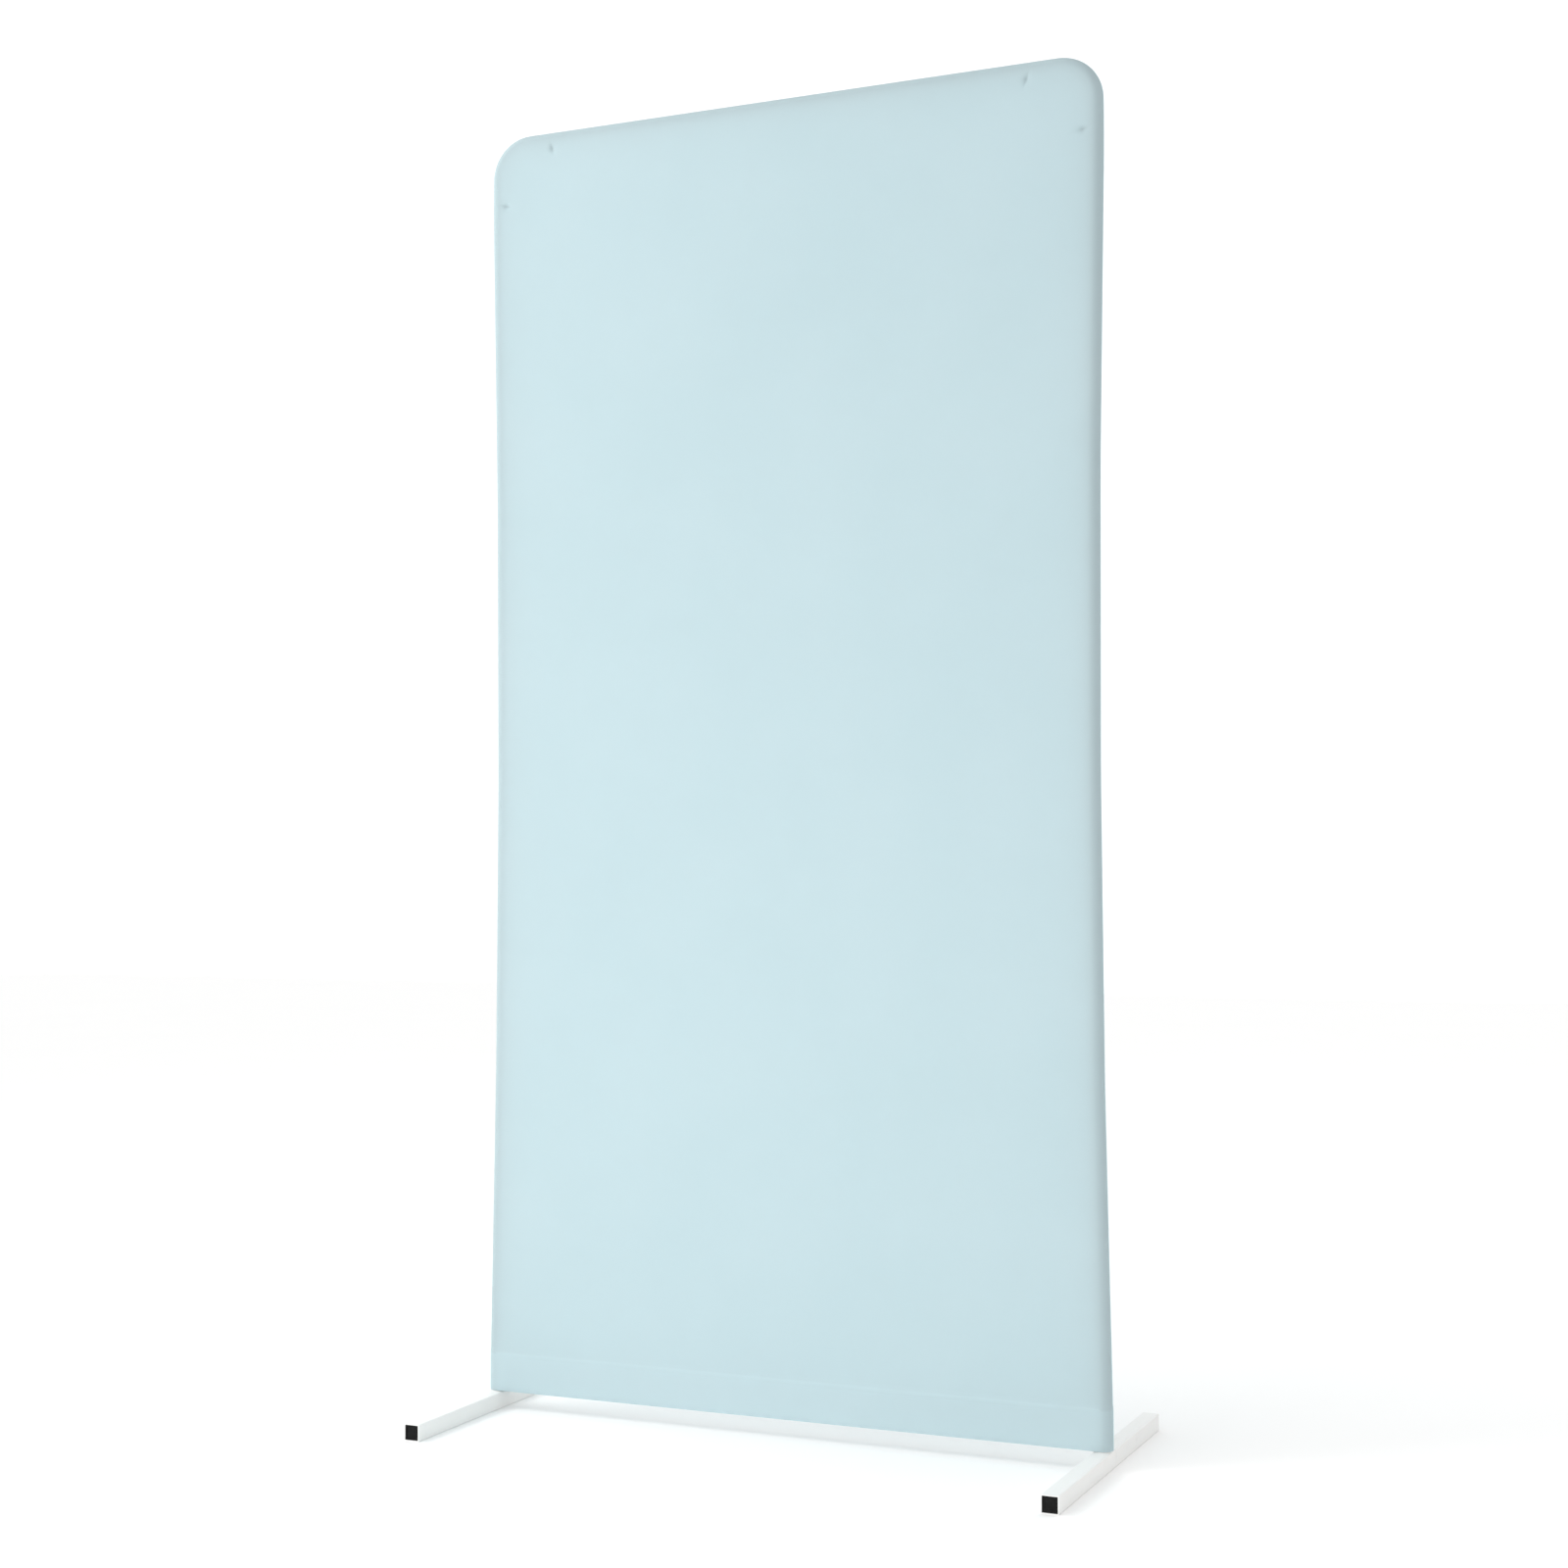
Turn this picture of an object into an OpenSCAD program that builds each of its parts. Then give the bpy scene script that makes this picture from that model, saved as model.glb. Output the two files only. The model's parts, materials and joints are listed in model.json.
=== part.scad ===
// Free-standing partition wall: a knock-down tube arch on two square-tube feet,
// dressed in a stretched pillowcase cover. Millimetres, +Z up. The origin is on
// the floor in the middle of the wall; X runs along the wall and -Y is the front.

/* [Overall] */
// Height from the floor to the top of the cover
stand_h = 2000; // [1600:10:2400]
// Width of the frame over its two upright tubes
frame_w = 1000; // [700:10:1400]
// How far the stretched cover pulls each upright in at mid-height
bow = 11; // [0:1:14]

/* [Tubes] */
// Outside diameter of every round tube
tube_d = 25; // [24:0.5:30]
// Wall of the round tubes
tube_wall = 1.2; // [1:0.1:1.5]
// Radius of the top corners, to the middle of the tube
bend_r = 53; // [45:1:90]
// Length of the reduced end that slides into the next tube
spigot_l = 50; // [42:1:70]
// Straight tube left between a reduced end and the corner's bend
leg_spare = 19.5; // [3:0.5:30]
// Room all round a reduced end inside the next tube
spigot_fit = 0.1; // [0.05:0.01:0.2]
// Length of the cone inside a tube where it is reduced
neck_l = 6; // [4:0.5:10]
// How much narrower the throat under a shoulder is than the reduced end's bore
throat_step = 0.2; // [0.15:0.01:0.4]
// Chamfer at the tip of a reduced end
tip_chamfer = 0.5; // [0.2:0.1:0.8]
// Gap between the end of a tube and the shoulder that it meets
butt_gap = 0.3; // [0.26:0.01:0.6]

/* [Snap buttons] */
// Diameter of a snap button
button_d = 6.8; // [5:0.1:7.6]
// Room all round a button in its hole
button_fit = 0.08; // [0.03:0.01:0.1]
// How far a button stands out of the tube
button_out = 2.2; // [1.4:0.1:3]
// Height of a button's domed tip
button_dome = 1.2; // [0.6:0.1:1.3]
// Distance from a joint to its button
button_at = 25; // [20:1:30]
// How much wider a button's head is than its hole, all round
head_rim = 1; // [0.6:0.1:1.2]
// Thickness of a button's head
head_t = 1; // [0.8:0.1:1.5]
// Thickness of the spring strip
spring_t = 0.6; // [0.4:0.1:0.8]
// Width of the spring strip
spring_w = 7; // [5:0.5:8]
// Spring beyond the button, towards its free ends
spring_tail = 8; // [6:1:14]
// Spring from the button back to the start of its bend
spring_reach = 39; // [34:1:50]
// Clearance of the spring and the button's head from what they bear on
spring_gap = 0.15; // [0.1:0.01:0.2]

/* [Feet] */
// Length of a foot, front to back
foot_l = 500; // [360:10:700]
// How much wider the square foot tube is than the round post that stands on it
foot_extra = 0; // [0:1:15]
// Wall of the foot tube
foot_wall = 1.5; // [1.2:0.1:2.5]
// Outside corner radius of the foot tube
foot_edge_r = 1.6; // [0.8:0.1:3]
// Round post standing on the foot, below its shoulder
post_l = 62; // [50:1:120]
// Height and width of the weld round the post
weld = 1.5; // [1:0.1:2]

/* [End plugs] */
// How far a plug's face lies inside the end of the foot
plug_inset = 0.8; // [0:0.1:3]
// Room between a plug and the wall of the foot
plug_fit = 0.15; // [0.05:0.01:0.3]
// Thickness of a plug's face
plug_face = 3; // [2:0.1:4]
// Margin of a plug's face round its dished middle
plug_rim = 2.6; // [2:0.1:4]
// Depth of the dished middle
plug_dish = 0.8; // [0.4:0.1:1.2]
// Length of the hollow body behind the face
plug_body = 16; // [10:1:24]
// How far the body stays behind the fins
fin_depth = 1.6; // [1:0.1:2]
// Thickness of one fin
fin_t = 1; // [0.8:0.1:1.5]
// Fins along a plug
fin_count = 3; // [2:1:4]
// Wall of the hollow body
plug_wall = 1.6; // [1.2:0.1:2.5]

/* [Cover] */
// Thickness of the cover's cloth with its lining
cover_t = 0.8; // [0.5:0.1:1.5]
// Room between the cover and the tubes
cover_gap = 0.35; // [0.3:0.01:0.6]
// Width of the sewn edge between the two panels
seam_w = 1; // [0.6:0.1:2]
// How far the sewn edge stands proud
seam_proud = 0.35; // [0.1:0.05:0.8]
// Height of the hem at the cover's mouth
hem_h = 60; // [30:1:90]
// Extra thickness of the cover at its hem
hem_t = 0.5; // [0.3:0.1:1]
// Gap between the hem and the weld below it
hem_gap = 0.5; // [0.4:0.1:10]

/* [Hidden] */
$fn = 64;
cut = 1;
uprights = 4;
tube_r = tube_d / 2;
tube_ri = tube_r - tube_wall;
spigot_r = tube_ri - spigot_fit;
spigot_ri = spigot_r - tube_wall;
throat_r = spigot_ri - throat_step;
button_r = button_d / 2;
hole_r = button_r + button_fit;
head_r = hole_r + head_rim;
foot_s = tube_d + foot_extra;
cover_in = tube_r + cover_gap;
cover_out = cover_in + cover_t;
hem_out = cover_out + hem_t;
cover_bottom = foot_s + weld + hem_gap;
post_x = frame_w / 2 - tube_r;
rail_z = stand_h - seam_proud - cover_out;
corner_leg = spigot_l + leg_spare;
rail_x = post_x - bend_r - corner_leg;
bend_z = rail_z - bend_r;
post_top = foot_s + post_l;
top_joint = bend_z - corner_leg;
pitch = (top_joint - post_top) / uprights;
foot_in = foot_s - 2 * foot_wall;
plug_s = foot_in - 2 * plug_fit;
// Places of the button's head and of the spring's two legs, out from the tube's axis
head_top = sqrt(spigot_ri * spigot_ri - head_r * head_r) - spring_gap;
front_leg = head_top - head_t - spring_gap;
back_leg = sqrt(throat_r * throat_r - spring_w * spring_w / 4) - spring_gap;
white = "#f4f5f3";
black = "#1b1b1b";
alloy = "#c3c7c9";
steel = "#a8acae";
ice_blue = "#cfe4ea";

// Joint 0 is on the post and joint 4 is under the corner, on the right-hand side
function joint_z(i) = post_top + i * pitch;
function joint_x(i) = post_x - 4 * bow * (i / uprights) * (1 - i / uprights);
function step_x(i) = i < uprights ? joint_x(i + 1) - joint_x(i) : 0;
function lean(i) = atan2(step_x(i), pitch);
function upright_l(i) = norm([step_x(i), pitch]);

// Draws the right-hand side as it is and the left-hand side as its mirror image
module on_side(side) {
  if (side < 0) mirror([1, 0, 0]) children();
  else children();
}

// Frames with +Z along the tube that goes on over a joint and -X towards its button
module at_joint(i) {
  translate([joint_x(i), 0, joint_z(i)]) rotate([0, lean(i), 0]) children();
}

module at_rail(x) {
  translate([x, 0, rail_z]) rotate([0, 90, 0]) rotate([0, 0, 180]) children();
}

module ring(r_out, r_in, z_low, z_high) {
  translate([0, 0, z_low]) difference() {
    cylinder(r = r_out, h = z_high - z_low);
    translate([0, 0, -cut]) cylinder(r = r_in, h = z_high - z_low + 2 * cut);
  }
}

// A tube from its open end at z = start to its shoulder at z = l, with a cone in the bore
module necked_tube(l, start) {
  rotate_extrude() polygon([
    [tube_ri, start], [tube_r, start], [tube_r, l], [throat_r, l],
    [throat_r, l - tube_wall], [tube_ri, l - neck_l]
  ]);
}

// The reduced end, which starts inside the shoulder
module spigot() {
  rotate_extrude() polygon([
    [spigot_ri, -tube_wall / 2], [spigot_r, -tube_wall / 2], [spigot_r, spigot_l - tip_chamfer],
    [spigot_r - tip_chamfer, spigot_l], [spigot_ri, spigot_l]
  ]);
}

module button_hole() {
  translate([0, 0, button_at]) rotate([0, -90, 0])
    translate([0, 0, tube_r / 2]) cylinder(r = hole_r, h = tube_r);
}

module snap_button() {
  dome_r = (button_r * button_r + button_dome * button_dome) / (2 * button_dome);
  tip = tube_r + button_out;
  translate([0, 0, button_at]) rotate([0, -90, 0]) {
    translate([0, 0, head_top - head_t]) cylinder(r = head_r, h = head_t);
    intersection() {
      translate([0, 0, head_top - head_t]) cylinder(r = button_r, h = tip - head_top + head_t);
      translate([0, 0, tip - dome_r]) sphere(r = dome_r);
    }
  }
}

// A strip bent into a hairpin: its front leg bears on the button, its back leg on the tube
module hairpin_spring() {
  bend_out = (front_leg + back_leg) / 2;
  leg_l = spring_reach + spring_tail;
  translate([0, spring_w / 2, button_at - spring_reach]) rotate([90, 0, 0])
    linear_extrude(height = spring_w) {
      translate([-front_leg, 0]) square([spring_t, leg_l]);
      translate([back_leg - spring_t, 0]) square([spring_t, leg_l]);
      intersection() {
        translate([(back_leg - front_leg) / 2, 0]) difference() {
          circle(r = bend_out);
          circle(r = bend_out - spring_t);
        }
        translate([-tube_r, -tube_r]) square([tube_d, tube_r]);
      }
    }
}

module foot() {
  translate([post_x, foot_l / 2, foot_s / 2]) rotate([90, 0, 0]) difference() {
    rounded_bar(foot_s, foot_edge_r, foot_l);
    translate([-foot_in / 2, -foot_in / 2, -cut]) cube([foot_in, foot_in, foot_l + 2 * cut]);
  }
}

// A square bar along +Z from z = 0, centred, with rounded edges
module rounded_bar(s, r, l) {
  flat = s / 2 - r;
  translate([-flat, -s / 2, 0]) cube([2 * flat, s, l]);
  translate([-s / 2, -flat, 0]) cube([s, 2 * flat, l]);
  for (x = [-flat, flat], y = [-flat, flat])
    translate([x, y, 0]) cylinder(r = r, h = l);
}

// A ribbed insert in the end of the foot; end is -1 at the front and 1 at the back
module end_plug(end) {
  core = plug_s - 2 * fin_depth;
  bore = core - 2 * plug_wall;
  fin_pitch = plug_body / fin_count;
  dish = plug_s - 2 * plug_rim;
  translate([post_x, end * (foot_l / 2 - plug_inset), foot_s / 2]) rotate([end * 90, 0, 0])
    difference() {
      union() {
        rounded_bar(plug_s, plug_fit, plug_face);
        translate([-core / 2, -core / 2, 0]) cube([core, core, plug_face + plug_body]);
        for (i = [1 : fin_count])
          translate([-plug_s / 2, -plug_s / 2, plug_face + i * fin_pitch - fin_t])
            cube([plug_s, plug_s, fin_t]);
      }
      translate([-bore / 2, -bore / 2, plug_face]) cube([bore, bore, plug_body + cut]);
      translate([-dish / 2, -dish / 2, -cut]) cube([dish, dish, cut + plug_dish]);
    }
}

module post() {
  difference() {
    union() {
      translate([post_x, 0, foot_s]) necked_tube(post_l, 0);
      at_joint(0) spigot();
    }
    at_joint(0) button_hole();
  }
}

// The weld stays within the width of the foot
module post_weld() {
  intersection() {
    translate([post_x, 0, foot_s]) difference() {
      cylinder(r1 = tube_r + weld, r2 = tube_r, h = weld);
      translate([0, 0, -cut]) cylinder(r = tube_r, h = weld + 2 * cut);
    }
    translate([post_x - foot_s / 2, -foot_l / 2, foot_s]) cube([foot_s, foot_l, weld]);
  }
}

// Upright i runs from joint i - 1 up to joint i
module upright(i) {
  difference() {
    union() {
      at_joint(i - 1) necked_tube(upright_l(i - 1), butt_gap);
      at_joint(i) spigot();
    }
    at_joint(i - 1) button_hole();
    at_joint(i) button_hole();
  }
}

// Both ends of a corner are open sockets
module corner() {
  difference() {
    union() {
      at_joint(uprights) ring(tube_r, tube_ri, butt_gap, corner_leg);
      translate([post_x - bend_r, 0, bend_z]) rotate([90, 0, 0]) rotate_extrude(angle = 90)
        translate([bend_r, 0]) difference() {
          circle(r = tube_r);
          circle(r = tube_ri);
        }
      at_rail(rail_x) ring(tube_r, tube_ri, butt_gap, corner_leg);
    }
    at_joint(uprights) button_hole();
    at_rail(rail_x) button_hole();
  }
}

// The left rail has a reduced end at both ends, and the inner one enters the right rail
module left_half_rail() {
  half = rail_x / 2;
  difference() {
    union() {
      on_side(-1) at_rail(half) {
        necked_tube(half, 0);
        mirror([0, 0, 1]) necked_tube(half, 0);
      }
      on_side(-1) at_rail(rail_x) spigot();
      at_rail(0) spigot();
    }
    on_side(-1) at_rail(rail_x) button_hole();
    at_rail(0) button_hole();
  }
}

module right_half_rail() {
  difference() {
    union() {
      at_rail(0) necked_tube(rail_x, butt_gap);
      at_rail(rail_x) spigot();
    }
    at_rail(rail_x) button_hole();
    at_rail(0) button_hole();
  }
}

// The outline through the middles of the tubes, down to z = low
module arch_outline(low) {
  translate([-post_x, low]) square([2 * post_x, bend_z - low]);
  translate([bend_r - post_x, bend_z]) square([2 * (post_x - bend_r), bend_r]);
  for (side = [-1, 1])
    translate([side * (post_x - bend_r), bend_z]) circle(r = bend_r);
}

// A solid that reaches r from the arch outline on every side but its open bottom
module sleeve(r, low) {
  translate([0, r, 0]) rotate([90, 0, 0]) linear_extrude(height = 2 * r) arch_outline(low);
  translate([bend_r - post_x, 0, rail_z]) rotate([0, 90, 0])
    cylinder(r = r, h = 2 * (post_x - bend_r));
  for (side = [-1, 1]) on_side(side) {
    translate([post_x, 0, low]) cylinder(r = r, h = bend_z - low);
    translate([post_x - bend_r, 0, bend_z]) rotate([90, 0, 0])
      rotate_extrude(angle = 90) translate([bend_r, 0]) circle(r = r);
  }
}

// Everything between y = near and y = far, above the cover's mouth
module cover_slice(near, far, h) {
  translate([-frame_w, near, cover_bottom]) cube([2 * frame_w, far - near, h]);
}

// One panel, turned in to the sewn edge; face is -1 at the front and 1 at the back
module cover_panel(face) {
  near = face < 0 ? -2 * hem_out : seam_w / 2;
  far = face < 0 ? -seam_w / 2 : 2 * hem_out;
  difference() {
    union() {
      intersection() {
        sleeve(cover_out, cover_bottom);
        cover_slice(near, far, stand_h);
      }
      intersection() {
        sleeve(hem_out, cover_bottom);
        cover_slice(near, far, hem_h);
      }
    }
    sleeve(cover_in, cover_bottom - cut);
  }
}

module sewn_edge() {
  intersection() {
    difference() {
      sleeve(cover_out + seam_proud, cover_bottom);
      sleeve(cover_in, cover_bottom - cut);
    }
    cover_slice(-seam_w / 2, seam_w / 2, stand_h);
  }
}

module left_foot() { color(white) on_side(-1) foot(); }
module right_foot() { color(white) foot(); }
module left_front_plug() { color(black) on_side(-1) end_plug(-1); }
module left_back_plug() { color(black) on_side(-1) end_plug(1); }
module right_front_plug() { color(black) end_plug(-1); }
module right_back_plug() { color(black) end_plug(1); }
module left_post() { color(white) on_side(-1) post(); }
module right_post() { color(white) post(); }
module left_weld() { color(white) on_side(-1) post_weld(); }
module right_weld() { color(white) post_weld(); }
module side_upright(side, i) { color(alloy) on_side(side) upright(i); }
module side_corner(side) { color(alloy) on_side(side) corner(); }
module left_rail() { color(alloy) left_half_rail(); }
module right_rail() { color(alloy) right_half_rail(); }
module side_button(side, i) { color(steel) on_side(side) at_joint(i - 1) snap_button(); }
module rail_button(side, x) { color(steel) on_side(side) at_rail(x) snap_button(); }
module side_spring(side, i) { color(steel) on_side(side) at_joint(i - 1) hairpin_spring(); }
module rail_spring(side, x) { color(steel) on_side(side) at_rail(x) hairpin_spring(); }
module cover_front() { color(ice_blue) cover_panel(-1); }
module cover_back() { color(ice_blue) cover_panel(1); }
module cover_seam() { color(ice_blue) sewn_edge(); }

left_foot();
right_foot();
left_front_plug();
left_back_plug();
right_front_plug();
right_back_plug();
left_post();
right_post();
left_weld();
right_weld();
side_upright(-1, 1);  // left_upright_1
side_upright(-1, 2);  // left_upright_2
side_upright(-1, 3);  // left_upright_3
side_upright(-1, 4);  // left_upright_4
side_upright(1, 1);  // right_upright_1
side_upright(1, 2);  // right_upright_2
side_upright(1, 3);  // right_upright_3
side_upright(1, 4);  // right_upright_4
side_corner(-1);  // left_corner
side_corner(1);  // right_corner
left_rail();
right_rail();
side_button(-1, 1);  // left_button_1
side_button(-1, 2);  // left_button_2
side_button(-1, 3);  // left_button_3
side_button(-1, 4);  // left_button_4
side_button(-1, 5);  // left_button_5
side_button(1, 1);  // right_button_1
side_button(1, 2);  // right_button_2
side_button(1, 3);  // right_button_3
side_button(1, 4);  // right_button_4
side_button(1, 5);  // right_button_5
rail_button(-1, rail_x);  // left_rail_button
rail_button(1, rail_x);  // right_rail_button
rail_button(1, 0);  // middle_button
side_spring(-1, 1);  // left_spring_1
side_spring(-1, 2);  // left_spring_2
side_spring(-1, 3);  // left_spring_3
side_spring(-1, 4);  // left_spring_4
side_spring(-1, 5);  // left_spring_5
side_spring(1, 1);  // right_spring_1
side_spring(1, 2);  // right_spring_2
side_spring(1, 3);  // right_spring_3
side_spring(1, 4);  // right_spring_4
side_spring(1, 5);  // right_spring_5
rail_spring(-1, rail_x);  // left_rail_spring
rail_spring(1, rail_x);  // right_rail_spring
rail_spring(1, 0);  // middle_spring
cover_front();
cover_back();
cover_seam();
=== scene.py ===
import json
import math

import bmesh
import bpy
import numpy as np
from mathutils import Matrix, Vector


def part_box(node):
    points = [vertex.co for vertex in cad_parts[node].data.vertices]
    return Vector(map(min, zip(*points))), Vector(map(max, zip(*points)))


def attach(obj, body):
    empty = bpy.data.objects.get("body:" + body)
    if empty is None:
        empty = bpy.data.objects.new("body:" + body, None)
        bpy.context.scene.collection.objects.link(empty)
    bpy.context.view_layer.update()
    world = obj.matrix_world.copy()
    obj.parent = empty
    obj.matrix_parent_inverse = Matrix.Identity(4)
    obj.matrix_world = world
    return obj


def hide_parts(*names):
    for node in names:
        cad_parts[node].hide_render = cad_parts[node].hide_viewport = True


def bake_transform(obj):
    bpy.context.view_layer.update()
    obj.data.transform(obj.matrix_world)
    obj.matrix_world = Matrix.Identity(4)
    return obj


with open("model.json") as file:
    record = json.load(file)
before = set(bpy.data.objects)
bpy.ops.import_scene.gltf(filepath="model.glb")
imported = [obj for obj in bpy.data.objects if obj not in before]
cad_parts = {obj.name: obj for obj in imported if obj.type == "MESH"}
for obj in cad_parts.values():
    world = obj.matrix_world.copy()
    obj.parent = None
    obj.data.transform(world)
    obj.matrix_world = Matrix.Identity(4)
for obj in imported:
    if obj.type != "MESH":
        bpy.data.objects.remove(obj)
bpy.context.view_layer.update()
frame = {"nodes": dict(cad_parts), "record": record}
nodes = frame["nodes"]
mm = 0.001
print("frame loaded")


# ---- meshes from arrays ----

def makeMesh(name, points, quads, smooth=True):
    # points is an n by 3 array and quads an m by 4 array of point numbers
    points = np.asarray(points, np.float32).reshape(-1, 3)
    quads = np.asarray(quads, np.int32).reshape(-1, 4)
    mesh = bpy.data.meshes.new(name)
    mesh.vertices.add(len(points))
    mesh.vertices.foreach_set("co", points.ravel())
    mesh.loops.add(quads.size)
    mesh.loops.foreach_set("vertex_index", quads.ravel())
    mesh.polygons.add(len(quads))
    mesh.polygons.foreach_set("loop_start", np.arange(len(quads), dtype=np.int32) * 4)
    mesh.update(calc_edges=True)
    mesh.polygons.foreach_set("use_smooth", np.full(len(quads), smooth))
    piece = bpy.data.objects.new(name, mesh)
    bpy.context.scene.collection.objects.link(piece)
    return piece


def gridQuads(numbers, flip=False):
    # numbers is a 2-D array of point numbers; each cell of it is one quad
    a, b, c, d = numbers[:-1, :-1], numbers[:-1, 1:], numbers[1:, 1:], numbers[1:, :-1]
    order = (a, d, c, b) if flip else (a, b, c, d)
    return np.stack(order, -1).reshape(-1, 4)


def addUv(piece, perPoint):
    # one UV map in metres, so that a knit has the same size all over the cloth
    mesh = piece.data
    uvMap = mesh.uv_layers.new(name="cloth")
    corner = np.zeros(len(mesh.loops), np.int32)
    mesh.loops.foreach_get("vertex_index", corner)
    uvMap.data.foreach_set("uv", np.asarray(perPoint, np.float32)[corner].ravel())


def addAttribute(piece, name, values):
    layer = piece.data.attributes.new(name, "FLOAT", "POINT")
    layer.data.foreach_set("value", np.asarray(values, np.float32))


def smoothStep(low, high, x):
    # 0 below low and 1 above high, with a cubic ramp between them
    t = np.clip((x - low) / (high - low), 0, 1)
    return t * t * (3 - 2 * t)


# ---- sizes read from the frame ----

def nodePoints(name):
    mesh = nodes[name].data
    co = np.zeros(len(mesh.vertices) * 3, np.float32)
    mesh.vertices.foreach_get("co", co)
    return co.reshape(-1, 3).astype(float)


def lowEnd(name, depth=0.6 * mm):
    # the middle of the rim at a leaning tube's lower end
    points = nodePoints(name)
    return points[points[:, 2] < points[:, 2].min() + depth].mean(0)


railLow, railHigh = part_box("right_rail")
tubeRadius = (railHigh.z - railLow.z) / 2
railZ = (railHigh.z + railLow.z) / 2
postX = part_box("right_corner")[1].x - tubeRadius
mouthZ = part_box("cover_front")[0].z
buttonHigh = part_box("right_button_5")[0].lerp(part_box("right_button_5")[1], 0.5)
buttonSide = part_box("right_rail_button")[0].lerp(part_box("right_rail_button")[1], 0.5)
jointEnds = np.array([lowEnd(n) for n in
                      ["right_upright_1", "right_upright_2", "right_upright_3",
                       "right_upright_4", "right_corner"]])
print("joints at", np.round(jointEnds[:, [0, 2]], 4).tolist())


# ---- the arch that the cover is stretched over ----

arch = {
    "bendRadius": 53 * mm,      # to the middle of the tube
    "kinkSoftness": 70 * mm,    # length over which the cloth rounds off a kink
    "kinkSamples": 15,
    "clothThickness": 0.5 * mm,
    "clothGap": 0.4 * mm,       # from the tube to the cloth
    "hemHeight": 58 * mm,
    "hemFold": 0.7 * mm,        # from the hem's outer layer to its inner one
    "hemRamp": 7 * mm,          # height over which the hem's extra thickness fades out
}
bendZ = railZ - arch["bendRadius"]
clothRadius = tubeRadius + arch["clothGap"] + arch["clothThickness"] / 2


def sideX(z):
    # half the width to the middle of the upright at height z: straight runs from joint to
    # joint, each averaged with its neighbours over the kink's softness
    zs = np.concatenate([[0.0], jointEnds[:, 2], [bendZ + 1.0]])
    xs = np.concatenate([[postX], jointEnds[:, 0], [postX]])
    shifts = np.linspace(-0.5, 0.5, arch["kinkSamples"]) * arch["kinkSoftness"]
    return np.interp(z[:, None] + shifts, zs, xs).mean(1)


def fineOffsets():
    # even steps from one end of the fine stretch beside a button to the other
    reach = panel["fineReach"]
    return np.arange(-reach, reach + 0.1 * mm, panel["fineStep"])


def archPath(sideZ, arcSteps, acrossSteps):
    # x and z of a run up the left-hand side, round both corners and down the right-hand
    # side, with the outward direction at each point
    leftSide = np.stack([-sideX(sideZ), sideZ], -1)
    turn = np.radians(np.linspace(180, 90, arcSteps + 1))[1:]
    middle = postX - arch["bendRadius"]
    leftArc = np.stack([-middle + arch["bendRadius"] * np.cos(turn),
                        bendZ + arch["bendRadius"] * np.sin(turn)], -1)
    even = np.linspace(-middle, 0, acrossSteps // 2 + 1)[1:]
    fine = fineOffsets() - buttonSide.x
    even = even[np.abs(even + buttonSide.x) > panel["fineReach"] + mm]
    across = np.sort(np.concatenate([even, fine]))
    half = np.stack([across, np.full(len(across), railZ)], -1)
    left = np.concatenate([leftSide, leftArc, half])
    right = left[-2::-1] * [-1, 1]
    path = np.concatenate([left, right])
    along = np.gradient(path, axis=0)
    along /= np.linalg.norm(along, axis=1)[:, None]
    return path, np.stack([-along[:, 1], along[:, 0]], -1)


def runLength(points):
    # how far along the line each of its points lies, starting from 0
    steps = np.linalg.norm(np.diff(points, axis=0), axis=1)
    return np.concatenate([[0], np.cumsum(steps)])


# ---- the two panels of the cover ----

panel = {
    "rowStep": 13 * mm,
    "fineStep": 2 * mm,         # rows and columns beside the top snap buttons
    "fineReach": 14 * mm,       # how far either side of a button they go
    "acrossSteps": 96,
    "arcSteps": 16,
    "wrapSteps": 8,
    "hemRows": 8,
    # mm in from the middle of the tube
    "edgeRings": (0, 3, 6, 9, 11, 13, 15, 17, 19, 21.5, 24.5, 28, 33, 40),
    "slackDepth": 0.22 * mm,    # how far the taut cloth still wanders in and out
    "pinchDepth": 2.4 * mm,     # where the cloth is caught beside a snap button
    "pinchReach": 6 * mm,
    "pinchEdge": 2 * mm,        # from the tube's side to the middle of a pinch
    "pinchTurns": (1.25, 0.3),  # slant of the rail's creases and the posts', in radians
    "creaseLength": 1.7,        # as shares of the pinch's reach
    "creaseWidth": 0.35,
    "seamGap": 0.03,            # radians left between the two panels at the seam
    "hemFoldRows": 7,
    "hemEase": 2 * mm,          # from the fold and the hem's top to the inner layer's rows
    "paintedShadeFade": (-7, 12),    # mm in from the middle of the tube: full shade, none
    "buttonShade": 4.5,         # times the painted shade of a tube: the button's painted shadow
    "hemShade": -1.2,           # below 0 the hem is painted lighter: painted light
    "cutWidth": 0.975,          # flat size of a panel before it is sewn and stretched
    "cutLength": 1.985,
}
hemTop = mouthZ + arch["hemHeight"]


def clothReach(z):
    # how far the cloth lies from the middle of the tubes: a little more over the hem
    return clothRadius + arch["hemFold"] * (1 - smoothStep(hemTop, hemTop + arch["hemRamp"], z))


def clothDrift(x, z, face):
    # long shallow waves that fade out at the tubes: the sum of four slanted sines
    waves = (np.sin(7.1 * x + 2.3 * z + face) + np.sin(3.7 * z - 4.9 * x + 1.7)
             + 0.6 * np.sin(11.3 * x - 1.9 * z + 0.4 * face) + 0.5 * np.sin(6.3 * z + 2.1))
    fade = smoothStep(0, 0.12, sideX(z) - np.abs(x)) * smoothStep(0, 0.12, railZ - z)
    return panel["slackDepth"] * waves * fade - panel["pinchDepth"] * clothPinch(x, z)


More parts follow.
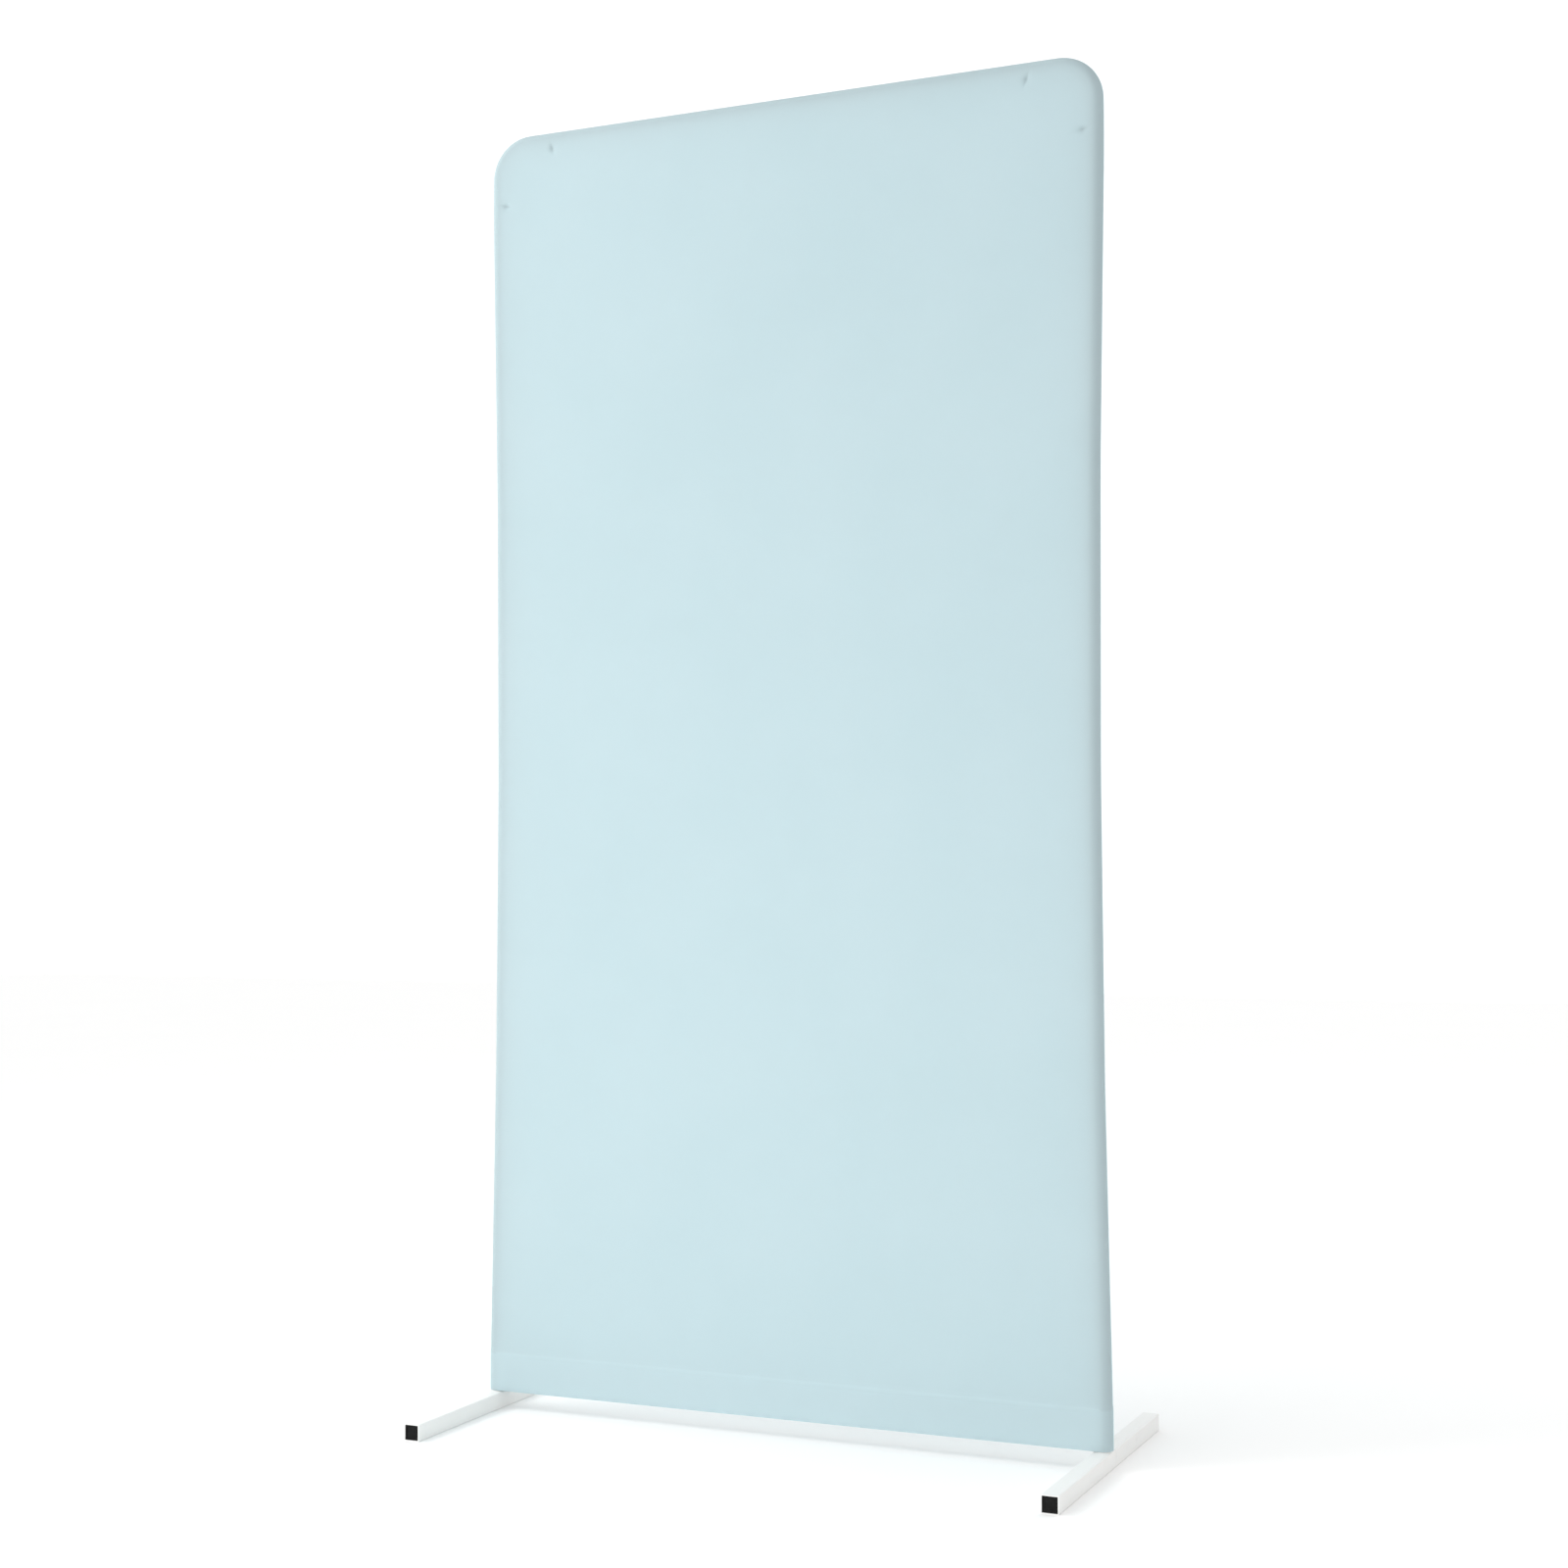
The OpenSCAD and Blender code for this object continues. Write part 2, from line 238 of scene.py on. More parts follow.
def clothPinch(x, z, spread=1.0):
    # beside each of the top buttons: a round bell, and a short crease through it that
    # points away from the tube, each of them falling off as exp(-distance squared)
    edge = tubeRadius + panel["pinchEdge"]
    railTurn, postTurn = panel["pinchTurns"]
    places = ((buttonSide.x, railZ - edge, railTurn), (postX - edge, buttonHigh.z, postTurn))
    reach = panel["pinchReach"] * spread
    longReach = panel["creaseLength"] * reach
    thinReach = panel["creaseWidth"] * reach
    depth = np.zeros_like(x)
    for px, pz, turn in places:
        for side in (-1, 1):
            across = side * x - px
            upward = z - pz
            run = across * math.cos(turn) + upward * math.sin(turn)
            off = upward * math.cos(turn) - across * math.sin(turn)
            bell = np.exp(-(across ** 2 + upward ** 2) / reach ** 2)
            crease = np.exp(-(run / longReach) ** 2 - (off / thinReach) ** 2)
            depth += 0.5 * bell + 0.5 * crease
    return depth


def squareCorners(ring):
    # pushes the points of the two small arcs out along their radii, on to a square
    centre = np.stack([np.sign(ring[:, 0]) * (postX - arch["bendRadius"]),
                       np.full(len(ring), bendZ)], -1)
    off = ring - centre
    inCorner = (off[:, 0] * np.sign(ring[:, 0]) > 0) & (off[:, 1] > 0)
    stretch = np.linalg.norm(off, axis=1) / np.maximum(np.abs(off).max(1), 1e-9)
    return np.where(inCorner[:, None], centre + off * stretch[:, None], ring)


def coonsPatch(left, top, right):
    # the sum of the two ruled surfaces between opposite edges, less the bilinear one
    # between the corners; the bottom edge is straight
    across = runLength(top) / runLength(top)[-1]
    bottom = left[0] + across[:, None] * (right[0] - left[0])
    u = across[None, :, None]
    v = (runLength(left) / runLength(left)[-1])[:, None, None]
    return ((1 - u) * left[:, None] + u * right[:, None] + (1 - v) * bottom[None]
            + v * top[None] - (1 - u) * (1 - v) * left[0] - u * (1 - v) * right[0]
            - (1 - u) * v * left[-1] - u * v * right[-1])


def makePanel(name, face):
    # Rings in from the outline of the arch, with a Coons patch inside the last of them.
    # Beyond the middle of the tubes the cloth turns through a quarter circle to the seam.
    sideZ = np.concatenate([
        np.linspace(mouthZ, hemTop - 6 * mm, panel["hemRows"]),
        np.linspace(hemTop - 3 * mm, hemTop + 9 * mm, 5),    # close rows at the hem's step
        np.arange(hemTop + 9 * mm + panel["rowStep"], bendZ, panel["rowStep"])])
    fine = buttonHigh.z + fineOffsets()
    coarse = sideZ[np.abs(sideZ - buttonHigh.z) > panel["fineReach"] + mm]
    sideZ = np.sort(np.concatenate([coarse, fine]))
    path, outward = archPath(sideZ, panel["arcSteps"], panel["acrossSteps"])
    inset = np.array(panel["edgeRings"])[:, None, None] * mm
    rings = path - outward * inset
    rings[:, [0, -1], 1] = mouthZ
    rings[-1] = squareCorners(rings[-1])
    rows = len(sideZ) + panel["arcSteps"] // 2
    columns = len(path) - 2 * (rows - 1)
    last = rings[-1]
    middle = coonsPatch(last[:rows], last[rows - 1:rows - 1 + columns], last[:-rows - 1:-1])
    midNumbers = np.arange(rows * columns).reshape(rows, columns)
    rim = np.concatenate([midNumbers[:, 0], midNumbers[-1, 1:-1], midNumbers[::-1, -1]])
    flat = np.concatenate([middle.reshape(-1, 2), rings[-2::-1].reshape(-1, 2)])
    ringNumbers = rows * columns + np.arange(rings[1:, :, 0].size).reshape(-1, len(path))
    x, z = flat.T
    y = face * (clothReach(z) + clothDrift(x, z, face))

    swing = np.radians(90) * np.arange(1, panel["wrapSteps"] + 1) / panel["wrapSteps"]
    swing[-1] -= panel["seamGap"]            # stops just short of the other panel
    reachAt = clothReach(path[:, 1])[:, None]
    outX = path[:, 0, None] + outward[:, 0, None] * reachAt * np.sin(swing)
    outZ = path[:, 1, None] + outward[:, 1, None] * reachAt * np.sin(swing)
    outZ[[0, -1]] = mouthZ
    wrap = np.stack([outX, face * reachAt * np.cos(swing), outZ], -1).swapaxes(0, 1)
    wrapNumbers = len(flat) + np.arange(wrap[..., 0].size).reshape(wrap.shape[:2])
    strip = np.concatenate([rim[None], ringNumbers, wrapNumbers]).T
    points = np.concatenate([np.stack([x, y, z], -1), wrap.reshape(-1, 3)])

    # the lowest edge turns under through a half circle and runs up as the hem's inner layer
    lowRow = np.concatenate([strip[0, :0:-1], midNumbers[0], strip[-1, 1:]])
    edge = points[lowRow].copy()
    inward = np.stack([np.clip(edge[:, 0], -postX, postX) - edge[:, 0], -edge[:, 1]], -1)
    inward /= np.linalg.norm(inward, axis=1)[:, None]
    turn = np.radians(np.array([45, 90, 135, 180]))
    half = arch["hemFold"] / 2
    rise = np.linspace(panel["hemEase"], arch["hemHeight"] - panel["hemEase"],
                       panel["hemFoldRows"])
    deep = np.concatenate([half * (1 - np.cos(turn)),
                           np.full(len(rise), arch["hemFold"])])[:, None]
    lift = np.concatenate([half * (1 - np.sin(turn)), half + rise])[:, None]
    points[lowRow, 2] += half
    lean = (sideX(mouthZ + lift[:, 0])[:, None] / postX - 1) * edge[:, 0]
    fold = np.stack(np.broadcast_arrays(edge[:, 0] + inward[:, 0] * deep + lean,
                                        edge[:, 1] + inward[:, 1] * deep, mouthZ + lift), -1)
    foldNumbers = len(points) + np.arange(fold[..., 0].size).reshape(fold.shape[:2])
    hemGrid = np.concatenate([lowRow[None], foldNumbers])
    points = np.concatenate([points, fold.reshape(-1, 3)])
    quads = np.concatenate([gridQuads(midNumbers, face > 0), gridQuads(strip, face < 0),
                            gridQuads(hemGrid, face < 0)])
    piece = makeMesh(name, points, quads)

    # lengths along the cloth, so that the knit follows it round the tubes and the hem
    around = (path[None] + outward[None] * (reachAt * swing).T[..., None]).reshape(-1, 2)
    under = np.stack(np.broadcast_arrays(edge[:, 0], mouthZ - lift), -1).reshape(-1, 2)
    addUv(piece, np.concatenate([flat, around, under]))
    # painted shade where something lies behind the cloth: a tube outside its middle, fading
    # inwards, and a button; the doubled hem is painted a little lighter
    ringFade = np.repeat(1 - smoothStep(*panel["paintedShadeFade"], inset[-2::-1] / mm), len(path))
    paintedShade = np.concatenate([np.zeros(rows * columns), ringFade])
    # painted shadows of the buttons, centred on the pinches
    paintedShade = paintedShade + panel["buttonShade"] * clothPinch(x, z, 0.8)
    paintedShade = np.concatenate([paintedShade, np.ones(wrap[..., 0].size)])
    # painted light: the doubled hem gets a negative painted shade, so it reads lighter
    inHem = points[:len(paintedShade), 2] < hemTop
    paintedShade = np.concatenate([paintedShade + panel["hemShade"] * inHem,
                              np.full(fold[..., 0].size, panel["hemShade"])])
    addAttribute(piece, "paintedShade", paintedShade)
    for material in clothMaterials():
        piece.data.materials.append(material)
    addThickness(piece, arch["clothThickness"])
    return piece


def addThickness(piece, thickness):
    thick = piece.modifiers.new("thickness", "SOLIDIFY")
    thick.thickness = thickness
    thick.offset = 0
    thick.material_offset = 1   # the back of the knit


# ---- the sewn edge, and stitches ----

seam = {
    "arcSteps": 24,
    "acrossSteps": 80,
    "width": 1.8 * mm,
    "height": 1.0 * mm,
    "proud": 0.25 * mm,         # how far its middle stands out from the cloth
    "sides": 10,
    "stitchStep": 3.2 * mm,
    "threadRadius": 0.22 * mm,
}


def sweep(path3, across, outward3, width, height, sides):
    # an ellipse carried along a path; the first and last rings close to a point
    turn = np.linspace(0, 2 * np.pi, sides, endpoint=False)
    ring = (np.cos(turn)[:, None] * across * width / 2
            + np.sin(turn)[:, None] * outward3[:, None] * height / 2)
    rings = path3[:, None] + ring
    return np.concatenate([path3[None, :1].repeat(sides, 1), rings,
                           path3[None, -1:].repeat(sides, 1)])


def closedGridQuads(rings, sides):
    # rings of points, numbered one ring after another, joined into a tube
    numbers = np.arange(rings * sides).reshape(rings, sides)
    return gridQuads(np.concatenate([numbers, numbers[:, :1]], 1))


def makeSeam():
    # an elliptical cord over the gap between the panels, from one end of the mouth to the
    # other
    sideZ = np.arange(mouthZ + 0.3 * mm, bendZ, panel["rowStep"])
    path, outward = archPath(sideZ, seam["arcSteps"], seam["acrossSteps"])
    away = clothReach(path[:, 1]) + seam["proud"]
    line = path + outward * away[:, None]
    path3 = np.stack([line[:, 0], 0 * away, line[:, 1]], -1)
    outward3 = np.stack([outward[:, 0], 0 * away, outward[:, 1]], -1)
    rings = sweep(path3, np.array([0.0, 1.0, 0.0]), outward3, seam["width"], seam["height"],
                  seam["sides"])
    quads = closedGridQuads(len(rings), seam["sides"])
    piece = makeMesh("sewn_edge", rings.reshape(-1, 3), quads)
    tidyMesh(piece)
    piece.data.materials.append(threadMaterial())
    return piece, path3, outward3


def tidyMesh(piece):
    # merges doubles and turns the faces outwards
    work = bmesh.new()
    work.from_mesh(piece.data)
    bmesh.ops.remove_doubles(work, verts=work.verts, dist=0.01 * mm)
    bmesh.ops.recalc_face_normals(work, faces=work.faces)
    work.to_mesh(piece.data)
    work.free()
    piece.data.update()


def makeStitches(name, centres, along, normal, length, radius):
    # one small capsule, turned and moved to each stitch's own centre and directions
    ends = np.array([-1.0, -0.86, 0.0, 0.86, 1.0]) * length / 2
    girth = np.array([0.05, 0.75, 1.0, 0.75, 0.05]) * radius
    sides = 6
    count = len(ends) * sides
    turn = np.linspace(0, 2 * np.pi, sides, endpoint=False)
    across = np.cross(normal, along)
    local = (ends[:, None, None] * along[:, None, None]
             + (girth[:, None] * np.cos(turn))[..., None] * across[:, None, None]
             + (girth[:, None] * np.sin(turn))[..., None] * normal[:, None, None])
    points = centres[:, None, None] + local
    lowCap = np.array([[0, 3, 2, 1], [0, 5, 4, 3]])
    highCap = np.array([[0, 1, 2, 3], [0, 3, 4, 5]]) + count - sides
    one = np.concatenate([closedGridQuads(len(ends), sides), lowCap, highCap])
    quads = one[None] + np.arange(len(centres))[:, None, None] * count
    piece = makeMesh(name, points.reshape(-1, 3), quads.reshape(-1, 4))
    tidyMesh(piece)
    piece.data.materials.append(threadMaterial())
    return piece


def makeSeamStitches(path3, outward3):
    # evenly spaced along the seam, each leaning across it like an overlock's thread
    run = runLength(path3)
    at = np.arange(2 * mm, run[-1] - 2 * mm, seam["stitchStep"])
    centres = np.stack([np.interp(at, run, path3[:, k]) for k in range(3)], -1)
    normal = np.stack([np.interp(at, run, outward3[:, k]) for k in range(3)], -1)
    normal /= np.linalg.norm(normal, axis=1)[:, None]
    side = np.array([0.0, 1.0, 0.0])
    forward = np.cross(normal, side)
    along = side * 0.8 + forward * 0.6
    centres = centres + normal * seam["height"] * 0.45
    return makeStitches("edge_stitches", centres, along, normal, seam["width"] * 1.2,
                        seam["threadRadius"])


hem = {
    "belowTop": 3 * mm,         # from the hem's top to the upper row
    "fromTube": 2 * mm,         # from the upright's middle line to the end stitches
    "proud": 0.05 * mm,
    "stitchStep": 3.4 * mm,
    "stitchLength": 2.5 * mm,
    "threadRadius": 0.2 * mm,
    "rowGap": 4.5 * mm,
}


def makeHemStitches(name, face):
    # two level rows near the top of the hem, on the flat of the panel
    top = hemTop - hem["belowTop"]
    reach = sideX(np.array([top]))[0] - hem["fromTube"]
    x = np.arange(-reach, reach, hem["stitchStep"])
    z = np.repeat([top, top - hem["rowGap"]], len(x))
    x = np.tile(x, 2)
    out = clothReach(z) + clothDrift(x, z, face) + arch["clothThickness"] / 2
    centres = np.stack([x, face * (out + hem["proud"]), z], -1)
    along = np.tile([1.0, 0.0, 0.0], (len(x), 1))
    normal = np.tile([0.0, float(face), 0.0], (len(x), 1))
    return makeStitches(name, centres, along, normal, hem["stitchLength"],
                        hem["threadRadius"])


# ---- materials ----

def newMaterial(name):
    # a material with an empty node tree, and that tree
    material = bpy.data.materials.new(name)
    material.use_nodes = True
    tree = material.node_tree
    tree.nodes.clear()
    return material, tree


def node(tree, kind, inputs=None, **settings):
    # a new shader node; an input is a number or colour, or the socket that feeds it
    added = tree.nodes.new(kind)
    for key, value in settings.items():
        setattr(added, key, value)
    for key, value in (inputs or {}).items():
        if isinstance(value, bpy.types.NodeSocket):
            tree.links.new(value, added.inputs[key])
        else:
            added.inputs[key].default_value = value
    return added


def ramp(tree, fac, low, high):
    # black below low and white above high
    spread = node(tree, "ShaderNodeMapRange", {"Value": fac, "From Min": low, "From Max": high})
    return spread.outputs["Result"]


def mixColour(tree, fac, first, second, blend="MIX"):
    # the mix node's colour inputs are numbers 6 and 7, and its colour output is number 2
    mix = node(tree, "ShaderNodeMix", {0: fac, 6: first, 7: second},
               data_type="RGBA", blend_type=blend)
    return mix.outputs[2]


waveBands = 20 / (2 * math.pi)   # bands that a wave node of scale 1 draws in a metre
cloth = {
    "colour": (0.688, 0.83, 0.868, 1),
    "deepColour": (0.674, 0.82, 0.858, 1),
    "through": 0.36,            # share of the light that passes the dyed face
    "backColour": (0.93, 0.95, 0.95, 1),
    "backThrough": 0.80,
    "roughness": 0.85,
    "paintedTubeShade": 0.045,      # how much painted shade darkens it where a tube lies behind it
    "walesPerMetre": 900,
}
made = {}                       # materials that several pieces share


def knitHeight(tree):
    # wales across and courses along the cloth's own map, multiplied into small loops
    place = node(tree, "ShaderNodeUVMap", uv_map="cloth").outputs["UV"]
    wales = node(tree, "ShaderNodeTexWave",
                 {"Vector": place, "Scale": cloth["walesPerMetre"] / waveBands,
                  "Distortion": 0.6, "Detail": 1.0, "Detail Scale": 1.0},
                 wave_type="BANDS", bands_direction="X").outputs["Fac"]
    courses = node(tree, "ShaderNodeTexWave",
                   {"Vector": place, "Scale": 1.3 * cloth["walesPerMetre"] / waveBands,
                    "Distortion": 0.4},
                   wave_type="BANDS", bands_direction="Y").outputs["Fac"]
    knit = node(tree, "ShaderNodeMath", {0: wales, 1: courses}, operation="MULTIPLY")
    return knit.outputs[0]


def clothShader(name, first, second, share, shade):
    # a thin knit: part of the light is scattered back and part goes through
    material, tree = newMaterial(name)
    place = node(tree, "ShaderNodeTexCoord").outputs["Object"]
    patches = node(tree, "ShaderNodeTexNoise",
                   {"Vector": place, "Scale": 5.0, "Detail": 3.0}).outputs["Fac"]
    colour = mixColour(tree, ramp(tree, patches, 0.35, 0.65), first, second)
    knit = knitHeight(tree)
    # painted shade: the colour is 4% darker where the knit's height is low, in its hollows
    colour = mixColour(tree, 0.04, colour, knit, "MULTIPLY")
    # painted shade: the colour is scaled by 1 - shade * paintedShade, darker over the tubes and
    # buttons, lighter on the hem
    if shade > 0:
        paintedShade = node(tree, "ShaderNodeAttribute", attribute_name="paintedShade").outputs["Fac"]
        kept = node(tree, "ShaderNodeMath", {0: paintedShade, 1: -shade, 2: 1.0},
                    operation="MULTIPLY_ADD").outputs[0]
        colour = node(tree, "ShaderNodeVectorMath", {0: colour, "Scale": kept},
                      operation="SCALE").outputs[0]
    bump = node(tree, "ShaderNodeBump",
                {"Height": knit, "Strength": 0.35, "Distance": 0.00015}).outputs["Normal"]
    face = node(tree, "ShaderNodeBsdfPrincipled",
                {"Base Color": colour, "Roughness": cloth["roughness"],
                 "Specular IOR Level": 0.25, "Sheen Weight": 0.1, "Sheen Roughness": 0.45,
                 "Normal": bump})
    through = node(tree, "ShaderNodeBsdfTranslucent", {"Color": colour, "Normal": bump})
    both = node(tree, "ShaderNodeMixShader",
                {0: share, 1: face.outputs[0], 2: through.outputs[0]})
    node(tree, "ShaderNodeOutputMaterial", {"Surface": both.outputs[0]})
    return material


def clothMaterials():
    # the dyed face outside and the undyed back of the knit inside
    if "cloth" not in made:
        made["cloth"] = (
            clothShader("stretchKnit", cloth["colour"], cloth["deepColour"],
                        cloth["through"], cloth["paintedTubeShade"]),
            clothShader("knitBack", cloth["backColour"], cloth["backColour"],
                        cloth["backThrough"], 0))
    return made["cloth"]


def threadMaterial():
    # pale blue thread with a fine twist; every seam and stitch shares it
    if "thread" in made:
        return made["thread"]
    material, tree = newMaterial("sewingThread")
    place = node(tree, "ShaderNodeTexCoord").outputs["Object"]
    twist = node(tree, "ShaderNodeTexNoise",
                 {"Vector": place, "Scale": 900.0, "Detail": 2.0}).outputs["Fac"]
    colour = mixColour(tree, twist, (0.60, 0.80, 0.86, 1), (0.72, 0.88, 0.92, 1))
    bump = node(tree, "ShaderNodeBump", {"Height": twist, "Strength": 0.3, "Distance": 0.0001})
    shader = node(tree, "ShaderNodeBsdfPrincipled",
                  {"Base Color": colour, "Roughness": 0.7, "Sheen Weight": 0.2,
                   "Normal": bump.outputs["Normal"]})
    node(tree, "ShaderNodeOutputMaterial", {"Surface": shader.outputs[0]})
    made["thread"] = material
    return material


def powderCoat():
    # white powder coat: fine orange peel, with faint scuffs
    material, tree = newMaterial("whitePowderCoat")
    place = node(tree, "ShaderNodeTexCoord").outputs["Object"]
    peel = node(tree, "ShaderNodeTexNoise",
                {"Vector": place, "Scale": 650.0, "Detail": 2.0}).outputs["Fac"]
    scuffs = node(tree, "ShaderNodeTexNoise",
                  {"Vector": place, "Scale": 42.0, "Detail": 6.0, "Roughness": 0.7}).outputs["Fac"]
    colour = mixColour(tree, ramp(tree, scuffs, 0.62, 0.78), (0.875, 0.875, 0.86, 1),
                       (0.79, 0.79, 0.775, 1))
    rough = node(tree, "ShaderNodeMapRange",
                 {"Value": scuffs, "From Min": 0.3, "From Max": 0.7, "To Min": 0.34,
                  "To Max": 0.5})
    bump = node(tree, "ShaderNodeBump", {"Height": peel, "Strength": 0.12, "Distance": 0.0002})
    shader = node(tree, "ShaderNodeBsdfPrincipled",
                  {"Base Color": colour, "Roughness": rough.outputs["Result"],
                   "Normal": bump.outputs["Normal"]})
    node(tree, "ShaderNodeOutputMaterial", {"Surface": shader.outputs[0]})
    return material


def plugPlastic():
    # black moulded plastic with a fine spark-eroded grain
    material, tree = newMaterial("blackPlugPlastic")
    place = node(tree, "ShaderNodeTexCoord").outputs["Object"]
    grain = node(tree, "ShaderNodeTexNoise",
                 {"Vector": place, "Scale": 1400.0, "Detail": 2.0}).outputs["Fac"]
    dust = node(tree, "ShaderNodeTexNoise",
                {"Vector": place, "Scale": 160.0, "Detail": 4.0}).outputs["Fac"]
    colour = mixColour(tree, ramp(tree, dust, 0.5, 0.8), (0.004, 0.004, 0.004, 1),
                       (0.014, 0.014, 0.0135, 1))
    bump = node(tree, "ShaderNodeBump", {"Height": grain, "Strength": 0.2, "Distance": 0.0001})
    shader = node(tree, "ShaderNodeBsdfPrincipled",
                  {"Base Color": colour, "Roughness": 0.36, "Specular IOR Level": 0.16,
                   "Normal": bump.outputs["Normal"]})
    node(tree, "ShaderNodeOutputMaterial", {"Surface": shader.outputs[0]})
    return material


def metal(name, colour, brightColour, roughness, stretch):
    # drawn or plated metal: fine streaks that are long in one direction
    material, tree = newMaterial(name)
    place = node(tree, "ShaderNodeTexCoord").outputs["Object"]
    mapped = node(tree, "ShaderNodeMapping", {"Vector": place, "Scale": stretch})
    streaks = node(tree, "ShaderNodeTexNoise",
                   {"Vector": mapped.outputs[0], "Scale": 30.0, "Detail": 4.0}).outputs["Fac"]
    tint = mixColour(tree, streaks, colour, brightColour)
    rough = node(tree, "ShaderNodeMapRange",
                 {"Value": streaks, "To Min": roughness - 0.08, "To Max": roughness + 0.12})
    bump = node(tree, "ShaderNodeBump", {"Height": streaks, "Strength": 0.1, "Distance": 0.0001})
    shader = node(tree, "ShaderNodeBsdfPrincipled",
                  {"Base Color": tint, "Metallic": 1.0, "Roughness": rough.outputs["Result"],
                   "Normal": bump.outputs["Normal"]})
    node(tree, "ShaderNodeOutputMaterial", {"Surface": shader.outputs[0]})
    return material


def dressNodes():
    # gives each CAD node whose slot has a look here the material of its slot, and the rails their
    # own
    slotOf = {s["node"]: s["material_slot"] for s in frame["record"]["subparts"]}
    alloy, brightAlloy = (0.50, 0.505, 0.51, 1), (0.64, 0.645, 0.65, 1)
    looks = {
        "white_powder_coat": powderCoat(),
        "plug_plastic": plugPlastic(),
        "tube_alloy": metal("uprightAlloy", alloy, brightAlloy, 0.34, (14, 14, 1)),
        "railAlloy": metal("railAlloy", alloy, brightAlloy, 0.34, (1, 14, 14)),
        "spring_steel": metal("platedSteel", (0.50, 0.50, 0.51, 1), (0.66, 0.66, 0.66, 1),
                              0.25, (3, 3, 3)),
    }
    for name, piece in nodes.items():
        slotName = slotOf[name]
        if slotName not in looks:
            continue
        look = looks["railAlloy"] if name.endswith("_rail") else looks[slotName]
        piece.data.materials.clear()
        piece.data.materials.append(look)


# ---- springs ----


def makeHairpin(name):
    # a copy of the CAD spring under a hairpin name, standing in place of its node, which is hidden
    points = nodePoints(name)
    piece = bpy.data.objects.new(name.replace("spring", "hairpin"), nodes[name].data.copy())
    piece.matrix_world = nodes[name].matrix_world.copy()
    bpy.context.scene.collection.objects.link(piece)
    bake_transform(piece)
    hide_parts(name)


# ---- floor, light and camera ----

studio = {
    "floorColour": (0.99, 0.99, 0.986, 1),
    "brightSide": 1.14,         # the light from the far left
    "dimSide": 0.74,            # and from the near right
    "towardsBright": (-0.8, 0.6, 0.0),
    # place, aim, size in metres and power in watts
    "keyLight": ((-2.4, -1.3, 2.75), (-0.3, 0.0, 1.5), 2.2, 46),
    "lowLight": ((-0.2, -1.7, 0.5), (0.0, 0.0, 0.2), 0.9, 4.5),
}


def makeWorld():
    # an even soft room that is dimmer on one side: dim + (bright - dim) * a smooth step of
    # the part of the direction that points to the bright side
    world = bpy.data.worlds.new("studio")
    world.use_nodes = True
    tree = world.node_tree
    tree.nodes.clear()
    direction = node(tree, "ShaderNodeTexCoord").outputs["Generated"]
    along = node(tree, "ShaderNodeVectorMath", {0: direction, 1: studio["towardsBright"]},
                 operation="DOT_PRODUCT").outputs["Value"]
    strength = node(tree, "ShaderNodeMapRange",
                    {"Value": along, "From Min": -0.9, "From Max": 0.45,
                     "To Min": studio["dimSide"], "To Max": studio["brightSide"]},
                    interpolation_type="SMOOTHSTEP").outputs["Result"]
    light = node(tree, "ShaderNodeBackground", {"Color": (1, 1, 1, 1), "Strength": strength})
    node(tree, "ShaderNodeOutputWorld", {"Surface": light.outputs[0]})
    bpy.context.scene.world = world


def makeLight(name):
    # a soft square lamp that the camera doesn't see
    place, aim, size, power = studio[name]
    data = bpy.data.lights.new(name, "AREA")
    data.shape = "SQUARE"
    data.size = size
    data.energy = power
    lamp = bpy.data.objects.new(name, data)
    bpy.context.scene.collection.objects.link(lamp)
    lamp.visible_camera = False
    turned = (Vector(aim) - Vector(place)).to_track_quat("-Z", "Y").to_matrix().to_4x4()
    lamp.matrix_world = Matrix.Translation(place) @ turned


